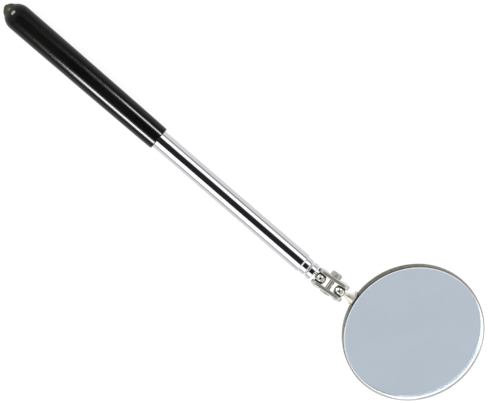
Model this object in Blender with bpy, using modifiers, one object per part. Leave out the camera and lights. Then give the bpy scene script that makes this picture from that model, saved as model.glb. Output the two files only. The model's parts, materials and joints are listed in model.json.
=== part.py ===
"""Telescoping inspection mirror with a double ball joint, lying closed on a flat surface.

Metres, +Z up. Every sub-assembly is built in a frame of its own whose X runs towards the mirror:
the handle's frame starts at the mouth of the outer tube, the clamp's frame at the first ball, and
the mirror's frame at the second ball, with +Z out of the glass.
"""
import math

import bmesh
import bpy
from mathutils import Vector

MM = 0.001

# How the object lies: the handle rises to the joint, and the mirror leans back down to the floor.
HANDLE_RISE = math.radians(5.21)
HANDLE_ROLL = math.radians(-7.8)
CLAMP_TILT = math.radians(6.5)
MIRROR_SWING = math.radians(20.8)
MIRROR_TILT = math.radians(4.8)
MIRROR_ROLL = math.radians(11.0)

# Telescope: each stage is one step thinner than the tube it slides in.
STAGES = (2, 3, 4, 5)
TUBE_RADIUS = 4.0 * MM
STAGE_STEP = 0.5 * MM
TUBE_WALL = 0.35 * MM
TUBE_LENGTH = 149.0 * MM
STAGE_FRONT = 2.75 * MM
BASE_LENGTH = 8.0 * MM
COLLAR_LENGTH = 2.0 * MM
SLEEVE_LENGTH = 5.0 * MM
SLEEVE_SLOT = 0.9 * MM
SLEEVE_PROUD = 0.10 * MM
NECK_DEPTH = 0.22 * MM
MOUTH_STEP = 0.09 * MM
MOUTH_LENGTH = 0.7 * MM
MOUTH_ROUND = 0.4 * MM
PLUG_LENGTH = 5.0 * MM

# Grip: a dipped vinyl sleeve with a closed, rounded end and a small nub.
GRIP_FRONT = -75.4 * MM
GRIP_END = -155.7 * MM
GRIP_FRONT_RADIUS = 4.75 * MM
GRIP_BACK_RADIUS = 5.48 * MM
GRIP_SHOULDER = 7.5 * MM
GRIP_SHOULDER_LENGTH = 6.1 * MM
GRIP_END_WALL = 5.3 * MM
GRIP_EDGE = 0.35 * MM
NUB_TIP_RADIUS = 1.5 * MM
NUB_RADIUS = 2.8 * MM
NUB_HEIGHT = 2.1 * MM
NUB_JOIN_RADIUS = 3.15 * MM

# Ball joint.
BALL_RADIUS = 2.38 * MM
BALL_1_AT = 8.7 * MM
BALL_SPACING = 9.0 * MM
NECK_RADIUS = 0.95 * MM
FERRULE_RADIUS = 3.5 * MM
FERRULE_BACK = 2.9 * MM
FERRULE_FRONT = 5.5 * MM
PLATE_INNER = 1.85 * MM
PLATE_THICKNESS = 1.8 * MM
PLATE_END_RADIUS = 2.6 * MM
PLATE_EDGE = 0.25 * MM
DOME_RADIUS = 4.1 * MM
DOME_ROOT = 0.3 * MM
SCREW_RADIUS = 1.1 * MM
SCREW_HEAD_RADIUS = 2.35 * MM
SCREW_HEAD_HEIGHT = 1.9 * MM
NUT_FLANGE_RADIUS = 2.15 * MM
NUT_FLANGE_HEIGHT = 0.5 * MM
NUT_HUB_RADIUS = 1.7 * MM

# Mirror head, with z = 0 on the stud's axis.
MIRROR_RADIUS = 57.15 * MM / 2
MIRROR_CENTRE = 35.7 * MM
CASE_WALL = 0.4 * MM
CASE_BACK = -1.7 * MM
CASE_CORNER = 0.7 * MM
LIP_TOP = 1.85 * MM
LIP_WIDTH = 0.9 * MM
GLASS_FRONT = 1.5 * MM
GLASS_THICKNESS = 2.4 * MM
PAD_THICKNESS = 0.2 * MM
STUD_FLARE_RADIUS = 2.4 * MM
STUD_FLARE_START = 3.2 * MM
STUD_FLARE_END = 6.15 * MM
BRACKET_THICKNESS = 0.7 * MM
BRACKET_WIDTH = 5.4 * MM
BRACKET_LENGTH = 16.0 * MM
BRACKET_TOP = 1.3 * MM
RIVET_RADIUS = 0.8 * MM
RIVET_HEAD_RADIUS = 1.5 * MM
RIVETS_AT = (12.5 * MM, 18.5 * MM)

# Clearance between pieces that touch on the real object.
GAP = 0.1 * MM
HOLE_REACH = 4.0 * MM
MERGE = 0.002 * MM
TURN_STEPS = 24
DISC_STEPS = 64
ALONG_X = (0.0, math.pi / 2, 0.0)
FACING_Y = (-math.pi / 2, 0.0, 0.0)
FACING_MINUS_Y = (math.pi / 2, 0.0, 0.0)


# Scene, materials and frames

def clear_scene():
    for obj in list(bpy.data.objects):
        bpy.data.objects.remove(obj, do_unlink=True)


def new_collection(name):
    collection = bpy.data.collections.new(name)
    bpy.context.scene.collection.children.link(collection)
    return collection


def new_material(name, colour, roughness, metallic):
    material = bpy.data.materials.new(name)
    material.use_nodes = True
    shader = material.node_tree.nodes["Principled BSDF"]
    shader.inputs["Base Color"].default_value = (*colour, 1.0)
    shader.inputs["Roughness"].default_value = roughness
    shader.inputs["Metallic"].default_value = metallic
    material.diffuse_color = (*colour, 1.0)
    return material


def new_frame(name, parent, location=(0, 0, 0), rotation=(0, 0, 0)):
    """An empty that holds a sub-assembly, or marks the centre that its pieces turn about."""
    frame = bpy.data.objects.new(name, None)
    frame.empty_display_size = 5 * MM
    parts.objects.link(frame)
    frame.parent = parent
    frame.location = location
    frame.rotation_euler = rotation
    return frame


def place(name, mesh, material, parent, location=(0, 0, 0), rotation=(0, 0, 0)):
    obj = bpy.data.objects.new(name, mesh)
    obj.parent = parent
    obj.location = location
    obj.rotation_euler = rotation
    if material is None:
        cutters.objects.link(obj)
        obj.hide_render = True
        obj.display_type = 'WIRE'
    else:
        parts.objects.link(obj)
        mesh.materials.append(material)
    return obj


# Shapes

def arc(centre, radii, start, end, steps):
    """Points (radius, z) on an arc about centre, from start to end in degrees."""
    points = []
    for i in range(steps + 1):
        angle = math.radians(start + (end - start) * i / steps)
        radius = centre[0] + radii[0] * math.cos(angle)
        points.append((radius, centre[1] + radii[1] * math.sin(angle)))
    return points


def turned(name, profile, material, parent, location=(0, 0, 0), rotation=ALONG_X, steps=TURN_STEPS,
           hollow=False):
    """A turned piece. The profile, (radius, z), runs from its front, down its outside, to its back."""
    mesh = bpy.data.meshes.new(name)
    edges = [(i, i + 1) for i in range(len(profile) - 1)]
    if hollow:
        edges.append((len(profile) - 1, 0))
    mesh.from_pydata([(radius, 0.0, z) for radius, z in profile], edges, [])
    obj = place(name, mesh, material, parent, location, rotation)
    screw = obj.modifiers.new("turn", 'SCREW')
    screw.angle = 2 * math.pi
    screw.steps = steps
    screw.render_steps = steps
    screw.use_merge_vertices = True
    screw.merge_threshold = MERGE
    screw.use_smooth_shade = True
    return obj


def ring(name, outer, inner, length, material, parent, back):
    """A plain ring, from back towards the front."""
    profile = [(inner, length), (outer, length), (outer, 0.0), (inner, 0.0)]
    return turned(name, profile, material, parent, (back, 0, 0), hollow=True)


def ball(name, material, parent, radius=BALL_RADIUS):
    mesh = bpy.data.meshes.new(name)
    bm = bmesh.new()
    bmesh.ops.create_uvsphere(bm, u_segments=TURN_STEPS, v_segments=TURN_STEPS // 2, radius=radius)
    bm.to_mesh(mesh)
    bm.free()
    mesh.shade_smooth()
    return place(name, mesh, material, parent)


def block(name, size, material, parent, location=(0, 0, 0), rotation=(0, 0, 0)):
    mesh = bpy.data.meshes.new(name)
    bm = bmesh.new()
    bmesh.ops.create_cube(bm, size=1.0)
    bmesh.ops.scale(bm, vec=Vector(size), verts=bm.verts)
    bm.to_mesh(mesh)
    bm.free()
    return place(name, mesh, material, parent, location, rotation)


def flat_plate(name, outline, thickness, material, parent, location=(0, 0, 0), rotation=(0, 0, 0)):
    """A plate cut to an outline (x, y), centred on its thickness."""
    curve = bpy.data.curves.new(name + "_outline", 'CURVE')
    curve.dimensions = '2D'
    curve.fill_mode = 'BOTH'
    curve.extrude = thickness / 2
    spline = curve.splines.new('POLY')
    spline.points.add(len(outline) - 1)
    for point, (x, y) in zip(spline.points, outline):
        point.co = (x, y, 0.0, 1.0)
    spline.use_cyclic_u = True
    drawn = bpy.data.objects.new(name + "_outline", curve)
    parts.objects.link(drawn)
    mesh = bpy.data.meshes.new_from_object(drawn.evaluated_get(bpy.context.evaluated_depsgraph_get()))
    bpy.data.objects.remove(drawn, do_unlink=True)
    bpy.data.curves.remove(curve)
    bm = bmesh.new()
    bm.from_mesh(mesh)
    bmesh.ops.remove_doubles(bm, verts=bm.verts, dist=MERGE)
    bmesh.ops.recalc_face_normals(bm, faces=bm.faces)
    bm.to_mesh(mesh)
    bm.free()
    mesh.name = name
    mesh.materials.clear()
    return place(name, mesh, material, parent, location, rotation)


def boolean(obj, other, operation='DIFFERENCE'):
    modifier = obj.modifiers.new(other.name, 'BOOLEAN')
    modifier.operation = operation
    modifier.solver = 'EXACT'
    modifier.object = other


def soften(obj, width, segments=2):
    """Round the sharp edges, leaving the flat facets of a round outline alone."""
    bevel = obj.modifiers.new("edges", 'BEVEL')
    bevel.width = width
    bevel.segments = segments
    bevel.limit_method = 'ANGLE'
    bevel.angle_limit = math.radians(60)
    bevel.use_clamp_overlap = False


# Handle and telescope

def stage_radius(stage):
    return TUBE_RADIUS - STAGE_STEP * (stage - 1)


def stage_back(stage):
    """Where a stage's back end lies when closed: each one stands clear of the base it slides in."""
    first = -TUBE_LENGTH + PLUG_LENGTH + 0.5 * MM
    return first + (BASE_LENGTH + 0.5 * MM) * (stage - 2)


def mouth_profile(radius, front):
    """The rolled front end of a tube, from its inner edge round to its outside."""
    centre = (radius - MOUTH_ROUND, front - MOUTH_ROUND)
    return arc(centre, (MOUTH_ROUND, MOUTH_ROUND), 80, 0, 3)


def bore_front_profile(radius, front):
    """The inside of a tube's front end, where the rolled mouth holds back the next stage's sleeve."""
    bore = radius - TUBE_WALL
    return [
        (bore, front - MOUTH_LENGTH - 0.3 * MM),
        (bore - MOUTH_STEP, front - MOUTH_LENGTH),
        (bore - MOUTH_STEP, front - 0.05 * MM),
    ]


def make_outer_tube(parent):
    profile = mouth_profile(TUBE_RADIUS, 0.0)
    profile.append((TUBE_RADIUS, -TUBE_LENGTH))
    profile.append((TUBE_RADIUS - TUBE_WALL, -TUBE_LENGTH))
    profile += bore_front_profile(TUBE_RADIUS, 0.0)
    turned("outer_tube", profile, chrome, parent, hollow=True)


def make_end_plug(parent):
    head_radius = TUBE_RADIUS - GAP
    body_radius = TUBE_RADIUS - TUBE_WALL - GAP
    back = -TUBE_LENGTH
    profile = [
        (0.0, back + PLUG_LENGTH),
        (body_radius - 0.4 * MM, back + PLUG_LENGTH),
        (body_radius, back + PLUG_LENGTH - 0.4 * MM),
        (body_radius, back - GAP),
        (head_radius, back - GAP),
        (head_radius, back - 1.1 * MM),
        (0.0, back - 1.1 * MM),
    ]
    turned("end_plug", profile, nylon, parent)


def make_grip(parent):
    """A closed sleeve: its bore, then from the open edge along the outside to the nub."""
    bore = TUBE_RADIUS + GAP
    bore_end = GRIP_END + GRIP_END_WALL
    middle = (GRIP_FRONT_RADIUS + GRIP_BACK_RADIUS) / 2
    nub_join = math.degrees(math.acos(NUB_JOIN_RADIUS / GRIP_BACK_RADIUS))
    edge_centre = (GRIP_FRONT_RADIUS - GRIP_EDGE, GRIP_FRONT - GRIP_EDGE)
    profile = [(0.0, bore_end), (bore, bore_end), (bore, GRIP_FRONT)]
    profile += arc(edge_centre, (GRIP_EDGE, GRIP_EDGE), 90, 0, 3)
    profile.append((middle, (GRIP_FRONT + GRIP_END) / 2))
    shoulder_radii = (GRIP_BACK_RADIUS, GRIP_SHOULDER_LENGTH)
    profile += arc((0.0, GRIP_END + GRIP_SHOULDER), shoulder_radii, 0, -nub_join, 6)
    profile.append((NUB_RADIUS, GRIP_END + NUB_HEIGHT))
    profile += arc((0.0, GRIP_END + NUB_TIP_RADIUS), (NUB_TIP_RADIUS, NUB_TIP_RADIUS), -40, -90, 4)
    turned("grip", profile, vinyl, parent)


def make_stage(stage, parent):
    """One sliding stage: its tube, the stop collar on its base and the friction sleeve in front of it."""
    radius = stage_radius(stage)
    back = stage_back(stage)
    neck = radius - NECK_DEPTH
    bore = radius - TUBE_WALL
    shoulder = back + BASE_LENGTH
    profile = mouth_profile(radius, STAGE_FRONT)
    profile += [
        (radius, shoulder),
        (neck, shoulder - 0.3 * MM),
        (neck, back),
        (neck - TUBE_WALL, back),
        (neck - TUBE_WALL, shoulder - 0.3 * MM),
        (bore, shoulder),
    ]
    profile += bore_front_profile(radius, STAGE_FRONT)
    turned("tube_%d" % stage, profile, chrome, parent, hollow=True)

    outer = radius + SLEEVE_PROUD
    inner = neck + 0.07 * MM
    ring("stop_collar_%d" % stage, outer, inner, COLLAR_LENGTH, brass, parent, back)
    sleeve_back = back + COLLAR_LENGTH + GAP
    sleeve_name = "friction_sleeve_%d" % stage
    sleeve = ring(sleeve_name, outer, inner, SLEEVE_LENGTH, bronze, parent, sleeve_back)
    slot_at = (sleeve_back + SLEEVE_LENGTH / 2, radius, 0)
    slot_size = (2 * SLEEVE_LENGTH, radius, SLEEVE_SLOT)
    boolean(sleeve, block(sleeve_name + "_slot", slot_size, None, parent, slot_at))


def make_ferrule(parent):
    """The turned end piece: a spigot in the last tube, and a hole for the first ball's stud."""
    spigot = stage_radius(5) - TUBE_WALL - GAP
    hole = NECK_RADIUS + GAP
    chamfer = 0.5 * MM
    profile = [
        (hole, FERRULE_FRONT),
        (FERRULE_RADIUS - 0.25 * MM, FERRULE_FRONT),
        (FERRULE_RADIUS, FERRULE_FRONT - 0.25 * MM),
        (FERRULE_RADIUS, FERRULE_BACK + chamfer),
        (FERRULE_RADIUS - chamfer, FERRULE_BACK),
        (spigot, FERRULE_BACK),
        (spigot, FERRULE_BACK - 6.0 * MM),
        (0.0, FERRULE_BACK - 6.0 * MM),
    ]
    bottom = [(0.0, FERRULE_FRONT - 4.0 * MM), (hole, FERRULE_FRONT - 4.0 * MM)]
    turned("end_ferrule", bottom + profile, chrome, parent)


# Ball joint

def seat_profile(radius, towards):
    """The hollow end of a stud, which follows its ball a gap away, out to the stud's radius."""
    seat = BALL_RADIUS + GAP
    widest = math.asin(radius / seat)
    points = []
    for i in range(4):
        angle = widest * i / 3
        points.append((seat * math.sin(angle), towards * seat * math.cos(angle)))
    return points


def make_ball_stud_1(parent):
    """Built about the first ball's centre, with the stud running back into the ferrule."""
    tail = FERRULE_FRONT - BALL_1_AT - 4.0 * MM + GAP
    profile = seat_profile(NECK_RADIUS, -1)
    profile += [(NECK_RADIUS, tail + 0.2 * MM), (NECK_RADIUS - 0.2 * MM, tail), (0.0, tail)]
    turned("ball_stud_1", profile, steel, parent)


def stadium(half_length, radius, steps=8):
    """A flat outline with two round ends, whose centres are half_length from the middle."""
    points = []
    for side, turn in ((1, -math.pi / 2), (-1, math.pi / 2)):
        for i in range(steps + 1):
            angle = turn + math.pi * i / steps
            points.append((side * half_length + radius * math.cos(angle), radius * math.sin(angle)))
    return points


def through_hole(name, radius, parent, location, rotation=(0, 0, 0), reach=HOLE_REACH):
    """A cutter along its frame's Z, or along its X with ALONG_X, that passes right through a plate."""
    profile = [(0.0, reach), (radius, reach), (radius, -reach), (0.0, -reach)]
    return turned(name, profile, None, parent, location, rotation)


def make_clamp_plate(name, clamp, facing, hole_radius):
    """One stamped plate over both balls, with its outer face towards its own frame's +Z."""
    frame = new_frame(name + "_frame", clamp, rotation=facing)
    outer_face = PLATE_INNER + PLATE_THICKNESS
    middle = (BALL_SPACING / 2, 0, PLATE_INNER + PLATE_THICKNESS / 2)
    outline = stadium(BALL_SPACING / 2, PLATE_END_RADIUS)
    plate = flat_plate(name, outline, PLATE_THICKNESS, chrome, frame, middle)
    soften(plate, PLATE_EDGE)
    dome_root = outer_face - DOME_ROOT
    dome_rim = math.degrees(math.asin(dome_root / DOME_RADIUS))
    dome = arc((0.0, 0.0), (DOME_RADIUS, DOME_RADIUS), 90, dome_rim, 6) + [(0.0, dome_root)]
    for end, at in (("near", (0, 0, 0)), ("far", (BALL_SPACING, 0, 0))):
        boolean(plate, turned(name + "_dome_" + end, dome, None, frame, at, (0, 0, 0)), 'UNION')
        cup = ball(name + "_cup_" + end, None, frame, BALL_RADIUS + GAP)
        cup.location = at
        boolean(plate, cup)
    middle = (BALL_SPACING / 2, 0, 0)
    boolean(plate, through_hole(name + "_hole", hole_radius, frame, middle, reach=outer_face + MM))


def make_clamp_screw(parent):
    """A slotted pan-head screw along the frame's Y, through both plates and the nut."""
    seat = PLATE_INNER + PLATE_THICKNESS + GAP
    top = seat + SCREW_HEAD_HEIGHT
    tip = -(PLATE_INNER + PLATE_THICKNESS + NUT_FLANGE_HEIGHT + 0.2 * MM)
    crown = arc((SCREW_HEAD_RADIUS - 0.9 * MM, top - 0.9 * MM), (0.9 * MM, 0.9 * MM), 90, 0, 4)
    profile = [(0.0, top + 0.1 * MM)] + crown
    profile += [
        (SCREW_HEAD_RADIUS, seat),
        (SCREW_RADIUS, seat),
        (SCREW_RADIUS, tip + 0.3 * MM),
        (SCREW_RADIUS - 0.3 * MM, tip),
        (0.0, tip),
    ]
    screw = turned("clamp_screw", profile, steel, parent, rotation=FACING_Y)
    slot_size = (3 * SCREW_HEAD_RADIUS, 1.6 * MM, 0.6 * MM)
    slot = block("clamp_screw_slot", slot_size, None, parent, (0, top + 0.1 * MM, 0))
    boolean(screw, slot)


def make_clamp_nut(parent):
    """A round press-in nut, set in the lower plate from outside, along the frame's -Y."""
    outer_face = PLATE_INNER + PLATE_THICKNESS
    bore = SCREW_RADIUS + GAP
    profile = [
        (bore, outer_face + NUT_FLANGE_HEIGHT),
        (NUT_FLANGE_RADIUS - 0.2 * MM, outer_face + NUT_FLANGE_HEIGHT),
        (NUT_FLANGE_RADIUS, outer_face + NUT_FLANGE_HEIGHT - 0.2 * MM),
        (NUT_FLANGE_RADIUS, outer_face + GAP),
        (NUT_HUB_RADIUS, outer_face + GAP),
        (NUT_HUB_RADIUS, PLATE_INNER),
        (bore, PLATE_INNER),
    ]
    middle = (BALL_SPACING / 2, 0, 0)
    turned("clamp_nut", profile, steel, parent, middle, FACING_MINUS_Y, hollow=True)


# Mirror head

def make_ball_stud_2(parent):
    """Built about the second ball's centre: a thin neck that flares out to the bracket, and a tail."""
    tail_end = STUD_FLARE_END + GAP + BRACKET_THICKNESS
    profile = [
        (0.0, tail_end),
        (RIVET_RADIUS, tail_end),
        (RIVET_RADIUS, STUD_FLARE_END),
        (STUD_FLARE_RADIUS, STUD_FLARE_END),
        (STUD_FLARE_RADIUS, STUD_FLARE_END - 0.3 * MM),
    ]
    slim = STUD_FLARE_RADIUS - NECK_RADIUS
    run = STUD_FLARE_END - 0.3 * MM - STUD_FLARE_START
    for i in range(1, 6):
        share = i / 5
        profile.append((NECK_RADIUS + slim * (1 - share) ** 1.5, STUD_FLARE_END - 0.3 * MM - run * share))
    profile += reversed(seat_profile(NECK_RADIUS, 1))
    turned("ball_stud_2", profile, steel, parent)


def cut_rivet_holes(obj, radius, parent):
    for i, x in enumerate(RIVETS_AT):
        name = "%s_hole_%d" % (obj.name, i + 1)
        boolean(obj, through_hole(name, radius, parent, (x, 0, CASE_BACK)))


def make_case(parent):
    """The stamped case: a flat back, a side wall and a lip rolled over the edge of the glass."""
    roll = (LIP_TOP - GLASS_FRONT - GAP) / 2 + 0.25 * MM
    lip_inner = MIRROR_RADIUS - LIP_WIDTH
    bore = MIRROR_RADIUS - CASE_WALL
    under_lip = GLASS_FRONT + GAP
    floor = CASE_BACK + CASE_WALL
    corner = CASE_CORNER
    profile = [(0.0, floor), (bore - 0.3 * MM, floor), (bore, floor + 0.3 * MM)]
    profile += [(bore, under_lip), (lip_inner, under_lip)]
    profile += arc((MIRROR_RADIUS - roll, LIP_TOP - roll), (roll, roll), 110, 0, 5)
    profile += arc((MIRROR_RADIUS - corner, CASE_BACK + corner), (corner, corner), 0, -90, 4)
    profile.append((0.0, CASE_BACK))
    at = (MIRROR_CENTRE, 0, 0)
    case = turned("mirror_case", profile, chrome, parent, at, (0, 0, 0), DISC_STEPS)
    cut_rivet_holes(case, RIVET_RADIUS + GAP, parent)


def disc(name, radius, top, thickness, edge, material, parent):
    profile = [
        (0.0, top),
        (radius - edge, top),
        (radius, top - edge),
        (radius, top - thickness + edge),
        (radius - edge, top - thickness),
        (0.0, top - thickness),
    ]
    return turned(name, profile, material, parent, (MIRROR_CENTRE, 0, 0), (0, 0, 0), DISC_STEPS)


def make_glass_and_pad(parent):
    radius = MIRROR_RADIUS - CASE_WALL - GAP
    disc("mirror_glass", radius, GLASS_FRONT, GLASS_THICKNESS, 0.2 * MM, mirror, parent)
    pad_top = GLASS_FRONT - GLASS_THICKNESS - GAP
    pad = disc("backing_pad", radius - 0.5 * MM, pad_top, PAD_THICKNESS, 0.05 * MM, card, parent)
    cut_rivet_holes(pad, RIVET_HEAD_RADIUS + 3 * GAP, parent)


def make_bracket(parent):
    """A stamped bracket: a tongue riveted under the case, and an upright leg against its rim."""
    top = CASE_BACK - GAP
    leg_front = MIRROR_CENTRE - MIRROR_RADIUS - GAP
    leg_back = leg_front - BRACKET_THICKNESS
    half = BRACKET_WIDTH / 2
    straight = BRACKET_LENGTH - half
    outline = [(0.0, half), (0.0, -half)]
    for i in range(9):
        angle = math.pi * (i / 8 - 0.5)
        outline.append((straight + half * math.cos(angle), half * math.sin(angle)))
    tongue_at = (leg_back, 0, top - BRACKET_THICKNESS / 2)
    bracket = flat_plate("mirror_bracket", outline, BRACKET_THICKNESS, chrome, parent, tongue_at)
    leg_height = BRACKET_TOP - (top - BRACKET_THICKNESS)
    leg_outline = [(0.0, -half), (leg_height - 1.2 * MM, -half), (leg_height, -half + 1.2 * MM)]
    leg_outline += [(leg_height, half - 1.2 * MM), (leg_height - 1.2 * MM, half), (0.0, half)]
    leg_at = (leg_back + BRACKET_THICKNESS / 2, 0, top - BRACKET_THICKNESS)
    leg_turn = (0.0, -math.pi / 2, 0.0)
    leg = flat_plate("bracket_leg", leg_outline, BRACKET_THICKNESS, None, parent, leg_at, leg_turn)
    boolean(bracket, leg, 'UNION')
    tail_hole = through_hole("bracket_tail_hole", RIVET_RADIUS + GAP, parent, (leg_back, 0, 0), ALONG_X)
    boolean(bracket, tail_hole)
    cut_rivet_holes(bracket, RIVET_RADIUS + GAP, parent)


def make_rivets(parent):
    """Each rivet has a domed head under the bracket and a flat one inside the case."""
    inside = CASE_BACK + CASE_WALL + 0.05 * MM
    outside = CASE_BACK - BRACKET_THICKNESS - 2 * GAP
    for i, x in enumerate(RIVETS_AT):
        profile = [
            (0.0, inside + 0.3 * MM),
            (1.6 * RIVET_RADIUS, inside + 0.3 * MM),
            (1.6 * RIVET_RADIUS, inside),
            (RIVET_RADIUS, inside),
            (RIVET_RADIUS, outside),
        ]
        profile += arc((0.0, outside), (RIVET_HEAD_RADIUS, 0.7 * MM), 0, -90, 4)
        turned("bracket_rivet_%d" % (i + 1), profile, steel, parent, (x, 0, 0), (0, 0, 0), 16)


# Assembly

def corners_of(obj):
    evaluated = obj.evaluated_get(bpy.context.evaluated_depsgraph_get())
    return [evaluated.matrix_world @ vertex.co for vertex in evaluated.to_mesh().vertices]


def stand_on_floor(root):
    """Put the origin under the middle of the whole object, at floor level."""
    bpy.context.view_layer.update()
    points = [p for obj in parts.objects if obj.type == 'MESH' for p in corners_of(obj)]
    low = Vector([min(p[i] for p in points) for i in range(3)])
    high = Vector([max(p[i] for p in points) for i in range(3)])
    middle = (low + high) / 2
    root.location = (-middle.x, -middle.y, -low.z)


def make_all():
    root = new_frame("handle_frame", None, rotation=(HANDLE_ROLL, -HANDLE_RISE, 0))
    make_grip(root)
    make_outer_tube(root)
    make_end_plug(root)
    for stage in STAGES:
        make_stage(stage, root)
    make_ferrule(root)

    clamp = new_frame("clamp_frame", root, (BALL_1_AT, 0, 0), (0, 0, CLAMP_TILT))
    ball("ball_1", steel, clamp)
    neck = new_frame("stud_1_frame", root, (BALL_1_AT, 0, 0))
    make_ball_stud_1(neck)
    make_clamp_plate("clamp_plate_upper", clamp, FACING_Y, SCREW_RADIUS + GAP)
    make_clamp_plate("clamp_plate_lower", clamp, FACING_MINUS_Y, NUT_HUB_RADIUS + GAP)
    make_clamp_nut(clamp)
    make_clamp_screw(new_frame("screw_frame", clamp, (BALL_SPACING / 2, 0, 0)))

    swing = new_frame("mirror_swing", clamp, (BALL_SPACING, 0, 0), (0, MIRROR_SWING, 0))
    tilt = new_frame("mirror_tilt", swing, rotation=(0, 0, MIRROR_TILT))
    head = new_frame("mirror_frame", tilt, rotation=(MIRROR_ROLL, 0, 0))
    ball("ball_2", steel, head)
    make_ball_stud_2(head)
    make_case(head)
    make_glass_and_pad(head)
    make_bracket(head)
    make_rivets(head)
    stand_on_floor(root)


clear_scene()
parts = new_collection("inspection_mirror")
cutters = new_collection("cutters")
chrome = new_material("chrome", (0.80, 0.80, 0.82), 0.08, 1.0)
steel = new_material("steel", (0.66, 0.65, 0.62), 0.22, 1.0)
brass = new_material("brass", (0.72, 0.55, 0.25), 0.30, 1.0)
bronze = new_material("bronze", (0.60, 0.38, 0.20), 0.35, 1.0)
nylon = new_material("nylon", (0.80, 0.79, 0.74), 0.55, 0.0)
vinyl = new_material("vinyl", (0.010, 0.010, 0.012), 0.18, 0.0)
card = new_material("card", (0.35, 0.28, 0.20), 0.85, 0.0)
mirror = new_material("mirror", (0.72, 0.77, 0.83), 0.02, 1.0)
make_all()
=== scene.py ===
"""The looks of a telescoping inspection mirror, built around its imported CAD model.

Metres, in the frame of the CAD model. Three frames of the object's own carry its pieces: HANDLE at
the mouth of the outer tube, CLAMP at the first ball and HEAD at the second. A turned piece is drawn
as a path of (x, radius) about an X axis.
"""

import json
import math

import bmesh
import bpy
import numpy as np
from mathutils import Matrix, Vector, noise


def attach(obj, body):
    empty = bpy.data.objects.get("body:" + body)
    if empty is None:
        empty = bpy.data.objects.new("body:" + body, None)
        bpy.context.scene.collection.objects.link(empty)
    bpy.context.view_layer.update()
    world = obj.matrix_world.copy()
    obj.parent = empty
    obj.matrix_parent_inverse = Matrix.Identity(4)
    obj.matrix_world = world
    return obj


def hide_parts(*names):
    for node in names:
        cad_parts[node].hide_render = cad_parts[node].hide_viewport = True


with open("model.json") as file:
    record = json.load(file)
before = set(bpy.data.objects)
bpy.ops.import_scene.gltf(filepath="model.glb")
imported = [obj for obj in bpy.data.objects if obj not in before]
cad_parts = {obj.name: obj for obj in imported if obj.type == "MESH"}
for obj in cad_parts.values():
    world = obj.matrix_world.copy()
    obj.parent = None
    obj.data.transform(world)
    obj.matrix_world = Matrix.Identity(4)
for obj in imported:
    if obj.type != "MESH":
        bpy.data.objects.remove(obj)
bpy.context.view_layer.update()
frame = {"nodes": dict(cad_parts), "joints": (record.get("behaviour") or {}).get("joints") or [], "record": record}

MM = 0.001
JOINTS = {joint["name"]: joint for joint in frame["joints"]}

# Fine detail that the CAD solids leave plain
ROUND_STEPS = 8
TURN_SEGMENTS = 96
SMOOTH_ANGLE = 35
TUBE_WALL = 0.35 * MM
MOUTH_CHAMFER = (0.52 * MM, 0.42 * MM)
MOUTH_LIP = 0.09 * MM
BASE_LENGTH = 8.0 * MM
NECK_DEPTH = 0.22 * MM
GRIP_RINGS = 150
GRIP_WAVE = 0.018 * MM
GRIP_EVEN_RADIUS = 4.3 * MM
GRIP_SLIMMING = 0.56 * MM
GRIP_TAPER = 0.6
GRIP_EDGE = (0.15 * MM, 0.85 * MM)
GRIP_SHOULDER = 7.5 * MM
GRIP_SHOULDER_LENGTH = 6.1 * MM
NUB_PROFILE = ((2.25, 3.08), (2.02, 2.86), (1.62, 2.62), (1.15, 2.18), (0.72, 1.60), (0.34, 1.02),
               (0.06, 0.52), (0.0, 0.0))
NECK_RADIUS = 0.95 * MM
NECK_SUNK = 0.15 * MM
PLATE_INNER = 1.85 * MM
PLATE_OUTER = 3.65 * MM
DOME_RADIUS = 4.1 * MM
PLATE_ROUNDS = {"outer": 0.55 * MM, "inner": 0.26 * MM}
PLATE_HOLES = {"clamp_plate_upper": 1.15 * MM, "clamp_plate_lower": 1.7 * MM}
NUT_BORE = 1.12 * MM
NUT_HUB = 1.7 * MM
SHANK_RADIUS = 1.1 * MM
SHANK_STEP = 0.05 * MM
SLOT_WIDTH = 0.6 * MM
SLOT_DEPTH = 0.8 * MM
THREAD_PITCH = 0.4 * MM
THREAD_DEPTH = 0.12 * MM
LIP_BEAD = (0.45 * MM, 0.46 * MM)
LIP_INNER_ANGLE = -48
CASE_CORNER = 0.7 * MM
CASE_FLAT_EDGE = 1.2 * MM
CASE_WALL = 0.4 * MM
DISC_SHARES = (0.0, 0.3, 0.6, 0.85)
DISC_SEGMENTS = 192
GLASS_BEVEL = 0.25 * MM
SKIN = 0.02 * MM
BRACKET_THICKNESS = 0.7 * MM
BRACKET_CORNER = 1.2 * MM
BEND_RADIUS = 0.75 * MM
RIVET_HEAD = 1.28 * MM
RIVET_SHANK = 0.8 * MM

# The camera sees a width of VIEW_WIDTH in the plane of the handle's axis.
VIEW_WIDTH = 192.3 * MM
VIEW_CENTRE = (-33.9 * MM, 3.2 * MM, 0.0)
VIEW_RIGHT = (0.757, 0.6534, 0.0)
CAMERA_LENS = 900.0
CAMERA_SENSOR = 36.0

# The lights stand LIGHT_DISTANCE metres off, at angles in degrees from straight above the handle.
# The studio is dim overhead, within a cone whose soft edge lies between two angles.
LIGHT_DISTANCE = 0.6
LEFT_ANGLE = -60
RIGHT_ANGLE = 45
END_LIGHT_ANGLE = 57.0
GLINT_FROM_END = 3.3 * MM
DIM_CONE = (28, 34)
DIM_CONE_LEAN = 6


# Frames

def axes_frame(origin, x, y, z):
    """The matrix of a frame whose axes are x, y and z."""
    matrix = Matrix.Identity(4)
    for column, axis in enumerate((x, y, z)):
        matrix.col[column].xyz = axis
    matrix.translation = origin
    return matrix


def joint_axis(name):
    return Vector(JOINTS[name]["axis"]).normalized()


def joint_origin(name):
    return Vector(JOINTS[name]["pos_m"])


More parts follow.
